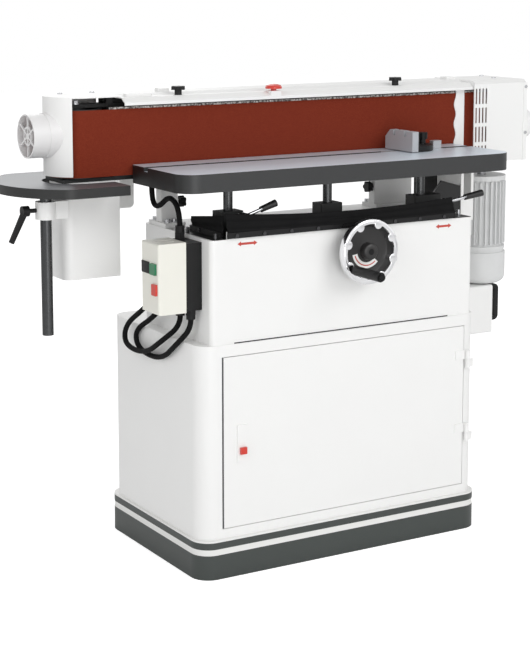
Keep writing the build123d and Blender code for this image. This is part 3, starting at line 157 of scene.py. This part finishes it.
def ground_casting(name, top_mm, top_colour, edge_colour, end_shade_colour):
    """Painted iron casting with painted shade on its left end, its upper face ground bright along its
    length.
    """
    material, shader, place, tint = finish_of(name, edge_colour, PAINT_ROUGH, grain=0.05, grain_mm=3.0,
                                              mottle=0.12, mottle_mm=70, rough_spread=0.06)
    facing = add(material, "SeparateXYZ", {"Vector": add(material, "TexCoord").outputs["Normal"]})
    up = add(material, "Math", {0: facing.outputs["Z"], 1: FACES_UP},
             operation="GREATER_THAN").outputs[0]
    rise = add(material, "SeparateXYZ", {"Vector": place}).outputs["Z"]
    near = add(material, "Math", {0: rise, 1: (top_mm - GROUND_DEPTH) * MM},
               operation="GREATER_THAN").outputs[0]
    ground = add(material, "Math", {0: up, 1: near}, operation="MULTIPLY").outputs[0]
    # Wheel marks run along the table: 1 mm apart across it, drawn coarser than the real ones.
    lines = add(material, "Mapping", {"Vector": place, "Scale": (6, 900, 6)})
    marks = add(material, "TexNoise", {"Vector": lines.outputs["Vector"], "Scale": 1.0, "Detail": 3.0})
    worn = add(material, "MixRGB", {"Fac": marks.outputs["Fac"], "Color1": linear(top_colour),
                                    "Color2": [c * GROUND_SHADE for c in linear(top_colour)[:3]] + [1]})
    # Painted shade: faces that look left take the darker end colour, by their direction alone.
    shade_leftward = add(material, "MapRange", {"Value": facing.outputs["X"], "From Min": -0.45, "From Max": -0.85,
                                          "To Min": 0.0, "To Max": 1.0})
    edge = add(material, "MixRGB", {"Fac": shade_leftward.outputs["Result"], "Color1": tint.outputs["Color"],
                                    "Color2": linear(end_shade_colour)})
    both = add(material, "MixRGB", {"Fac": ground, "Color1": edge.outputs["Color"],
                                    "Color2": worn.outputs["Color"]})
    material.node_tree.links.new(both.outputs["Color"], shader.inputs["Base Color"])
    metal = add(material, "Math", {0: ground, 1: GROUND_METAL}, operation="MULTIPLY")
    material.node_tree.links.new(metal.outputs[0], shader.inputs["Metallic"])
    smooth = add(material, "MapRange", {"Value": ground, "To Min": PAINT_ROUGH, "To Max": GROUND_ROUGH})
    material.node_tree.links.new(smooth.outputs["Result"], shader.inputs["Roughness"])
    return material


# The main table's left end is painted darker as shade; on the end table it keeps the edge colour.
table_iron = ground_casting("table_iron", 940, "E4EEF8", "323334", "0B0B0C")
end_table_iron = ground_casting("end_table_iron", 905, "707276", "1F2020", "1F2020")

# Aluminium-oxide cloth: brick red, grit about 0.2 mm drawn at 0.8 mm so that it shows.
abrasive, abrasive_shader, abrasive_place, _ = finish_of(
    "abrasive_cloth", "7C3222", 0.95, grain=0.25, grain_mm=1.6, mottle=0.1, mottle_mm=140, ior=1.25)
grit = add(abrasive, "TexVoronoi", {"Vector": abrasive_place, "Scale": 1250.0})
speck = add(abrasive, "ValToRGB", {"Fac": grit.outputs["Distance"]})
speck.color_ramp.elements[0].color = linear("A0482F")
speck.color_ramp.elements[1].color = linear("72291A")
speck.color_ramp.elements[1].position = 0.55
abrasive.node_tree.links.new(speck.outputs["Color"], abrasive_shader.inputs["Base Color"])

# Graphite-coated canvas on the platen: grey, its weave speckled from near white to nearly black.
graphite, graphite_shader, graphite_place, _ = finish_of(
    "graphite_canvas", "8A8A8B", 0.7, grain=0.12, grain_mm=1.4, mottle=0.3, mottle_mm=40)
weave = add(graphite, "TexNoise", {"Vector": graphite_place, "Scale": 180.0, "Detail": 1.0})
threads = add(graphite, "ValToRGB", {"Fac": weave.outputs["Fac"]})
threads.color_ramp.elements[0].color = linear("55514F")
threads.color_ramp.elements[0].position = 0.4
threads.color_ramp.elements[1].color = linear("DCD8D3")
threads.color_ramp.elements[1].position = 0.62
graphite.node_tree.links.new(threads.outputs["Color"], graphite_shader.inputs["Base Color"])
# Turned and ground steel: grey, with a soft stretched shine.
turned_steel, *_ = finish_of("turned_steel", "A6A7AA", 0.32, metallic=0.9, grain=0.01, grain_mm=0.8,
                             mottle=0.1, mottle_mm=15, rough_spread=0.05)
# Milled steel of the stop plate and its bar: pale, nearly matt, with fine tool marks.
milled_steel, *_ = finish_of("milled_steel", "B9BBBF", 0.45, metallic=0.3, grain=0.02, grain_mm=1.0,
                             mottle=0.08, mottle_mm=20, rough_spread=0.05)
# Turned steel of the handwheel's shaft and grip spindle, blackened at their front ends.
shaft_steel = second_coat(
    *finish_of("shaft_steel", "A6A7AA", 0.34, metallic=0.9, mottle=0.1, mottle_mm=15, rough_spread=0.05),
    "2A2A2B", (((-FAR, -FAR, 0), (FAR, -281, FAR)),))
# Oiled steel of the table's posts: darker, smooth.
oiled_steel, *_ = finish_of("oiled_steel", "535455", 0.27, metallic=0.9, grain=0.005, grain_mm=2.0,
                            mottle=0.15, mottle_mm=25, rough_spread=0.05)
# Chrome plate on the handwheel's rim: mirror bright, with long highlights.
plated_steel, *_ = finish_of("plated_steel", "F1F1F3", 0.12, metallic=1.0, mottle=0.03, mottle_mm=30,
                             rough_spread=0.04)
# Black phenolic and nylon mouldings: low gloss, fine spark texture.
black_moulding, *_ = finish_of("black_moulding", "141415", 0.48, grain=0.03, grain_mm=1.2, mottle=0.15,
                               mottle_mm=25, rough_spread=0.08, ior=1.36)
# Rubber of the skirt and cord jackets: deep black and nearly matt, a little dusty in places.
black_rubber, *_ = finish_of("black_rubber", "0F0F10", 0.75, grain=0.05, grain_mm=2.0, mottle=0.25,
                             mottle_mm=40, rough_spread=0.1, ior=1.26)
# Moulded cream ABS of the switch cover: satin, almost without texture.
cream_abs, *_ = finish_of("cream_abs", "F0EFE6", 0.42, grain=0.02, grain_mm=1.5, mottle=0.03,
                          mottle_mm=60, rough_spread=0.05)
# Moulded white ABS of the dust port: satin, almost without texture.
white_abs, *_ = finish_of("white_abs", "EDECEC", 0.4, grain=0.02, grain_mm=1.5, mottle=0.03,
                          mottle_mm=60, rough_spread=0.05)
# Moulded red and green ABS of the buttons and the latch: strong colour under a clear gloss.
red_abs, *_ = finish_of("red_abs", "D8382A", 0.3, mottle=0.08, mottle_mm=20, rough_spread=0.05, coat=0.3)
green_abs, *_ = finish_of("green_abs", "0B7A4D", 0.3, mottle=0.08, mottle_mm=20, rough_spread=0.05, coat=0.3)
# Hammered grey paint on the motor's aluminium casting.
motor_paint, *_ = finish_of("motor_paint", "E0E1E1", 0.45, grain=0.06, grain_mm=2.5, mottle=0.06,
                            mottle_mm=30, rough_spread=0.06)
# Black enamel on cast and welded parts: half gloss over a rough surface.
dark_casting, *_ = finish_of("dark_casting", "171818", 0.55, grain=0.08, grain_mm=2.5, mottle=0.15,
                             mottle_mm=30, rough_spread=0.08)
# Black enamel on the handwheel's dish: smoother than on the castings, with a soft shine.
wheel_enamel, *_ = finish_of("wheel_enamel", "252424", 0.4, grain=0.03, grain_mm=2.0, mottle=0.12,
                             mottle_mm=25, rough_spread=0.06)
# White vinyl film under the handwheel's direction arc: flat colour with a satin face.
white_vinyl, *_ = finish_of("white_vinyl", "F2F1EF", 0.4, grain=0.01, grain_mm=1.0, mottle=0.03, mottle_mm=8)
# Red vinyl film of the direction arrows: flat colour with a satin face.
red_vinyl, *_ = finish_of("red_vinyl", "C8483C", 0.4, grain=0.01, grain_mm=1.0, mottle=0.1, mottle_mm=8)

ROD_ROUGH, KNOB_ROUGH = 0.16, 0.42


def lever_finish(name, split_mm):
    """Plated rod that turns into a black moulded grip to the right of one place along X."""
    material, shader, place, tint = finish_of(name, "D4D5D8", ROD_ROUGH, mottle=0.05, mottle_mm=30)
    along = add(material, "SeparateXYZ", {"Vector": place}).outputs["X"]
    grip = add(material, "Math", {0: along, 1: split_mm * MM}, operation="GREATER_THAN").outputs[0]
    colour = add(material, "MixRGB", {"Fac": grip, "Color1": tint.outputs["Color"],
                                      "Color2": linear("1A1A1B")})
    metal = add(material, "MapRange", {"Value": grip, "To Min": 1.0, "To Max": 0.0})
    rough = add(material, "MapRange", {"Value": grip, "To Min": ROD_ROUGH, "To Max": KNOB_ROUGH})
    for source, socket in ((colour.outputs["Color"], "Base Color"), (metal.outputs["Result"], "Metallic"),
                           (rough.outputs["Result"], "Roughness")):
        material.node_tree.links.new(source, shader.inputs[socket])
    return material


left_lever_steel = lever_finish("left_lever_steel", -214.3)
right_lever_steel = lever_finish("right_lever_steel", 367.1)

wears = {
    housing_coat_and_shade: "upper_housing",
    left_lever_steel: "left_lever",
    right_lever_steel: "right_lever",
    door_coat_and_shade: "cabinet_door",
    powder_coat: "cabinet_shell top_cover left_end_cover right_cover rear_guard "
                 "head_brackets end_column rear_box scalloped_guard cover_fittings",
    channel_coat: "motor_channel",
    screw_steel: "screws",
    plinth_enamel: "plinth",
    table_iron: "main_table",
    end_table_iron: "end_table",
    abrasive: "sanding_belt",
    graphite: "platen",
    shaft_steel: "wheel_shaft",
    turned_steel: "lead_screw lift_bearings drive_drum motor_shaft",
    milled_steel: "gauge_bar stop_plate",
    oiled_steel: "table_posts end_table_post",
    plated_steel: "handwheel",
    black_moulding: "skirt_strip handwheel_grip star_knob_left star_knob_right left_bracket_knob "
                    "right_bracket_knob bridge_handle switch_back cable_glands gauge_head "
                    "gauge_knob ratchet_lever",
    black_rubber: "rubber_skirt head_cord loop_cords",
    cream_abs: "switch_cover",
    white_abs: "dust_port",
    red_abs: "estop_button stop_button latch_turn",
    green_abs: "start_button",
    motor_paint: "motor_body motor_fan_cover",
    dark_casting: "post_guides lift_beam head_frame idler_drum",
}
for material, names in wears.items():
    for name in names.split():
        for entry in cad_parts[name].material_slots:
            entry.link = "OBJECT"
            entry.material = material


def piece(name, mesh, material, body="base"):
    """Wraps a finished bmesh as one object riding on a body."""
    data = bpy.data.meshes.new(name)
    mesh.to_mesh(data)
    mesh.free()
    made = bpy.data.objects.new(name, data)
    bpy.context.scene.collection.objects.link(made)
    data.materials.append(material)
    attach(made, body)
    return made


CORD_R = 6.25


def cord(name, node, points):
    """Free-hanging cord on one smooth curve through the route's points, in millimetres."""
    data = bpy.data.curves.new(name, "CURVE")
    data.dimensions = "3D"
    data.bevel_depth = CORD_R * MM
    data.bevel_resolution = 6
    data.resolution_u = 12
    data.use_fill_caps = True
    line = data.splines.new("NURBS")
    line.points.add(len(points) - 1)
    for spot, at in zip(line.points, points):
        spot.co = (at[0] * MM, at[1] * MM, at[2] * MM, 1)
    line.order_u = 3
    line.use_endpoint_u = True
    made = bpy.data.objects.new(name, data)
    bpy.context.scene.collection.objects.link(made)
    data.materials.append(black_rubber)
    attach(made, "base")
    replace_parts(made, node)


cord("head_cord_run", "head_cord",
     [(-380, -119, 807), (-380, -119, 843), (-380, -72, 872), (-380, -12, 834), (-380, 20, 846),
      (-380, 20, 892)])
cord("loop_cord_outer", "loop_cords",
     [(-380, -118, 599), (-380, -118, 574), (-414, -88, 536), (-414, -5, 490), (-414, 104, 490),
      (-412, 104, 540), (-404, 20, 592), (-387, -50, 654), (-387, -87, 654)])
cord("loop_cord_inner", "loop_cords",
     [(-380, -169, 599), (-380, -169, 576), (-404, -146, 540), (-400, -60, 484), (-400, 58, 486),
      (-400, 78, 530), (-394, -10, 576), (-374, -56, 630), (-374, -87, 630)])


def soften(mesh, edges, offset_mm):
    """Rounds edges over with three facets."""
    bmesh.ops.bevel(mesh, geom=edges, offset=offset_mm * MM, segments=3, profile=0.5, affect="EDGES",
                    material=-1)


def bar(mesh, start, end, radius):
    """Round bar between two points in millimetres."""
    near = Vector(start) * MM
    far = Vector(end) * MM
    turn = (far - near).to_track_quat("Z", "Y").to_matrix().to_4x4()
    made = bmesh.ops.create_cone(mesh, cap_ends=True, segments=32, radius1=radius * MM,
                                 radius2=radius * MM, depth=(far - near).length,
                                 matrix=Matrix.Translation((near + far) / 2) @ turn)
    return made["verts"]


def block(mesh, low, high, round_mm):
    """Box between two corners in millimetres, its edges rounded."""
    low = Vector(low) * MM
    high = Vector(high) * MM
    made = bmesh.ops.create_cube(mesh, size=1, matrix=Matrix.Translation((low + high) / 2)
                                 @ Matrix.Diagonal((*(high - low), 1)))
    soften(mesh, list({edge for vert in made["verts"] for edge in vert.link_edges}), round_mm)


def plate(mesh, corners, away, round_mm=0.0):
    """Flat plate: an outline of corners in millimetres, drawn out along one direction."""
    outline = mesh.faces.new([mesh.verts.new(Vector(corner) * MM) for corner in corners])
    grown = bmesh.ops.extrude_face_region(mesh, geom=[outline])
    moved = [item for item in grown["geom"] if isinstance(item, bmesh.types.BMVert)]
    bmesh.ops.translate(mesh, verts=moved, vec=Vector(away) * MM)
    if round_mm:
        soften(mesh, list({edge for vert in moved for edge in vert.link_edges
                           if all(end in moved for end in edge.verts)}), round_mm)


def turned(mesh, profile, at, steps=72):
    """Spins an outline of (radius, Y) pairs in millimetres about the line through at along Y."""
    outline = [mesh.verts.new(((at[0] + r) * MM, y * MM, at[1] * MM)) for r, y in profile]
    edges = [mesh.edges.new(pair) for pair in zip(outline, outline[1:])]
    bmesh.ops.spin(mesh, geom=outline + edges, cent=(at[0] * MM, 0, at[1] * MM), axis=(0, 1, 0),
                   dvec=(0, 0, 0), angle=math.tau, steps=steps, use_merge=True)
    bmesh.ops.remove_doubles(mesh, verts=mesh.verts, dist=0.00001)


def close_up(mesh, smooth=True):
    """Turns the faces outwards and shades them smooth."""
    bmesh.ops.recalc_face_normals(mesh, faces=mesh.faces)
    for face in mesh.faces:
        face.smooth = smooth


def sharpen(made, degrees=35):
    """Keeps edges crisp where two smooth faces meet at more than this angle."""
    made.data.set_sharp_from_angle(angle=math.radians(degrees))
    return made


# Handwheel: chromed rim with eight finger lobes round a dished black disc, its hub and a direction film.
WHEEL_AT = (33.5, 734.5)
LEVEL = 1e-6
LOBES, FIRST_LOBE, LOBE_AT, LOBE_R = 8, 27, 66, 11
rim = bmesh.new()
turned(rim, [(66, -265), (73, -264.5), (76.5, -267.5), (77, -272), (77, -280), (76, -283.5), (73.5, -285.5),
             (69, -286), (65.5, -285), (64, -283), (63.5, -279), (64, -267), (66, -265)], WHEEL_AT, 96)
for n in range(LOBES):
    angle = math.radians(FIRST_LOBE + n * 360 / LOBES)
    x = WHEEL_AT[0] + LOBE_AT * math.cos(angle)
    z = WHEEL_AT[1] + LOBE_AT * math.sin(angle)
    lobe = bar(rim, (x, -268, z), (x, -285.6, z), LOBE_R)
    soften(rim, [edge for edge in {e for v in lobe for e in v.link_edges}
                 if abs(edge.verts[0].co.y - edge.verts[1].co.y) < LEVEL], 1.6)
close_up(rim)
wheel_rim = sharpen(piece("handwheel_rim", rim, plated_steel, "wheel"))
dish = bmesh.new()
turned(dish, [(8, -238), (16, -238), (17, -240), (17, -258), (26, -261), (56, -262), (65, -264), (65, -277),
              (63, -278.5), (57, -268.5), (54, -267), (24, -267), (20.5, -267.6), (19.5, -270), (19, -284.5),
              (17.5, -286.2), (7.5, -286.2), (6.5, -284.6), (0, -284.6)], WHEEL_AT)
close_up(dish)
wheel_dish = sharpen(piece("handwheel_dish", dish, wheel_enamel, "wheel"), 50)


def arc_film(name, radii, start, sweep, y, material):
    """Thin film along an arc on the handwheel's disc, from one angle through another, in degrees."""
    mesh = bmesh.new()
    centre = Vector((WHEEL_AT[0], 0, WHEEL_AT[1])) * MM
    way = Vector((math.cos(math.radians(start)), 0, math.sin(math.radians(start))))
    rim_line = [mesh.verts.new(centre + way * (r * MM) + Vector((0, y * MM, 0))) for r in radii]
    bmesh.ops.spin(mesh, geom=rim_line + [mesh.edges.new(rim_line)], cent=centre, axis=(0, -1, 0),
                   dvec=(0, 0, 0), angle=math.radians(sweep), steps=28)
    bmesh.ops.solidify(mesh, geom=mesh.faces[:], thickness=0.15 * MM)
    close_up(mesh, False)
    return piece(name, mesh, material, "wheel")


arc_film("wheel_film", (27, 41), 190, 128, -267.4, white_vinyl)
arc_film("wheel_film_arc", (33, 35.5), 196, 116, -267.7, red_vinyl)
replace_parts(wheel_rim, "handwheel")
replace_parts(wheel_dish, "handwheel")


SKIRT_LEFT, SKIRT_LENGTH, LOWEST_AT, RETURN_LENGTH = -319, 633, 348, 150
CREST_LEFT, CREST_LOW, CREST_RIGHT = 843, 826, 836.6


def curtain(name, width_mm, place, columns):
    """Thin rubber standing up from a level strip: a grid whose points a formula puts in place."""
    mesh = bmesh.new()
    bmesh.ops.create_grid(mesh, x_segments=columns, y_segments=26, size=0.5)
    for vert in mesh.verts:
        vert.co = Vector(place((vert.co.x + 0.5) * width_mm, vert.co.y + 0.5)) * MM
    close_up(mesh)
    made = piece(name, mesh, black_rubber)
    wall = made.modifiers.new("wall", "SOLIDIFY")
    wall.thickness = 2 * MM
    wall.offset = -1
    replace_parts(made, "rubber_skirt")


def swell(u, middle, width):
    """Bell-shaped bump round one height of the rubber."""
    return math.exp(-((u - middle) / width) ** 2)


def skirt_front(along, u):
    """Front of the skirt: two long folds, and a free top edge that sags in the middle."""
    end, reach = (CREST_LEFT, LOWEST_AT) if along < LOWEST_AT else (CREST_RIGHT, SKIRT_LENGTH - LOWEST_AT)
    crest = CREST_LOW + (end - CREST_LOW) * ((along - LOWEST_AT) / reach) ** 2
    lean = 11.5 * max(0, u - 0.3) / 0.7
    ripple = 0.5 * math.sin(along / 31) * u
    folds = 3.6 * swell(u, 0.33, 0.1) + 2.4 * swell(u, 0.66, 0.07)
    return SKIRT_LEFT + along, -230.6 + lean - folds + ripple, 786.4 + u * (crest - 787.2)


def skirt_left(along, u):
    """Left return of the skirt, lower towards its back end, with one fold along it."""
    crest = 817 + 19 * along / RETURN_LENGTH
    fold = 2.2 * swell(u, 0.45, 0.12) - 0.6 * swell(u, 0.7, 0.1)
    return -318.3 + fold, -58 - along, 784.4 + u * (crest - 784.8)


curtain("skirt_front", SKIRT_LENGTH, skirt_front, 150)
curtain("skirt_left", RETURN_LENGTH, skirt_left, 40)

# Red double arrows beside the table's travel, as thin film on the housing's front.
HEAD_LENGTH, HEAD_HALF, SHAFT_HALF, FILM_Y = 9, 5.5, 2.6, -227.4
for name, x_low, x_high, z in (("arrow_left", -291, -239, 771.6), ("arrow_right", 261, 307, 768)):
    film = bmesh.new()
    neck_low = x_low + HEAD_LENGTH
    neck_high = x_high - HEAD_LENGTH
    half = [(x_low, 0), (neck_low, HEAD_HALF), (neck_low, SHAFT_HALF), (neck_high, SHAFT_HALF),
            (neck_high, HEAD_HALF), (x_high, 0)]
    outline = half + [(x, -up) for x, up in reversed(half[1:-1])]
    plate(film, [(x, FILM_Y, z + up) for x, up in outline], (0, 0.35, 0))
    close_up(film, False)
    piece(name, film, red_vinyl)

# Star knobs of the top cover: a lobed head, 8 mm thick and a little narrower across, on a short hub.
STAR_STEPS, STAR_LOBES, STAR_R, STAR_WAVE = 90, 6, 15.4, 2.4
STAR_Y, STAR_SQUEEZE, STAR_Z = 7, 0.9, 1105.6
for name, x, body in (("star_knob_left", -315, "knob_left"), ("star_knob_right", 301, "knob_right")):
    star = bmesh.new()
    bar(star, (x, STAR_Y, 1094), (x, STAR_Y, 1107), 8.5)
    outline = []
    for n in range(STAR_STEPS):
        angle = math.tau * n / STAR_STEPS
        r = STAR_R + STAR_WAVE * math.cos(STAR_LOBES * angle)
        outline.append((x + r * math.cos(angle), STAR_Y + STAR_SQUEEZE * r * math.sin(angle), STAR_Z))
    plate(star, outline, (0, 0, 8.4), 1.5)
    close_up(star)
    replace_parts(sharpen(piece(name + "_head", star, black_moulding, body)), name)

# Web that closes the right cover's left end above the stepped cover.
web = bmesh.new()
plate(web, [(521.2, -36.4, 1077.5), (521.2, -36.4, 1090.6), (521.2, -25, 1098.4), (521.2, 36, 1098.4),
            (521.2, 36, 1077.5)], (2.4, 0, 0), 0.3)
close_up(web)
sharpen(piece("right_cover_web", web, powder_coat))

# Lower corner of the black gusset beside the motor's channel.
corner = bmesh.new()
plate(corner, [(464, -2.8, 796), (469, -2.8, 791), (477, -2.8, 768), (504.4, -2.8, 749), (504.4, -2.8, 792)],
      (0, 5.6, 0), 0.3)
close_up(corner)
sharpen(piece("gusset_corner", corner, dark_casting))

# Dark window beside the start button.
window = bmesh.new()
block(window, (-471.9, -145, 708), (-470.9, -106, 735), 0.3)
close_up(window)
sharpen(piece("switch_window", window, black_moulding))

# Floor and backdrop: the camera sees them white, and the object is lit by plain level light.
floor_mesh = bmesh.new()
bmesh.ops.create_grid(floor_mesh, x_segments=1, y_segments=1, size=14)
floor_data = bpy.data.meshes.new("floor")
floor_mesh.to_mesh(floor_data)
floor_mesh.free()
floor = bpy.data.objects.new("floor", floor_data)
bpy.context.scene.collection.objects.link(floor)
floor_paint = bpy.data.materials.new("floor_paint")
floor_paint.use_nodes = True
floor_shader = floor_paint.node_tree.nodes["Principled BSDF"]
floor_shader.inputs["Base Color"].default_value = linear("FBFBFB")
floor_shader.inputs["Roughness"].default_value = 0.9
floor_shader.inputs["Emission Color"].default_value = linear("FFFFFF")
# The floor glows for the camera alone, so it looks white and throws no light on the object.
FLOOR_GLOW = 0.6
floor_glow = add(floor_paint, "Math", {0: add(floor_paint, "LightPath").outputs["Is Camera Ray"],
                                       1: FLOOR_GLOW}, operation="MULTIPLY")
floor_paint.node_tree.links.new(floor_glow.outputs[0], floor_shader.inputs["Emission Strength"])
floor_data.materials.append(floor_paint)

# The world is full white to the camera, in reflections and through glass, and dimmer as light.
ROOM_LIGHT = 0.5
world = bpy.data.worlds.new("studio")
bpy.context.scene.world = world
world.use_nodes = True
world.node_tree.nodes.clear()
path = add(world, "LightPath").outputs
glow = add(world, "Background", {"Color": linear("FFFFFF"), "Strength": ROOM_LIGHT})
white = add(world, "Background", {"Color": linear("FFFFFF"), "Strength": 1.0})
bright = add(world, "Math", {0: path["Is Camera Ray"], 1: path["Is Glossy Ray"]}, operation="MAXIMUM")
seen = add(world, "Math", {0: bright.outputs[0], 1: path["Is Transmission Ray"]}, operation="MAXIMUM")
blend = add(world, "MixShader", {0: seen.outputs[0], 1: glow.outputs[0], 2: white.outputs[0]})
add(world, "OutputWorld", {"Surface": blend.outputs[0]})


def lamp(name, at, aim, size, power):
    """Soft square lamp at one place, aimed at another, in metres."""
    data = bpy.data.lights.new(name, "AREA")
    data.size = size
    data.energy = power
    made = bpy.data.objects.new(name, data)
    made.location = at
    made.rotation_euler = (Vector(aim) - Vector(at)).to_track_quat("-Z", "Y").to_euler()
    bpy.context.scene.collection.objects.link(made)


lamp("key", (1.6, -4.2, 3.4), (0, 0, 0.6), 2.6, 64)
lamp("fill", (-3.6, -1.6, 2.2), (0, 0, 0.7), 2.4, 28)
lamp("low", (-1.0, -4.4, 0.7), (0, 0, 0.8), 2.2, 38)
lamp("rim", (0.5, 3.2, 3.0), (0, 0, 0.8), 2.4, 32)

bpy.context.scene.view_settings.view_transform = "Standard"
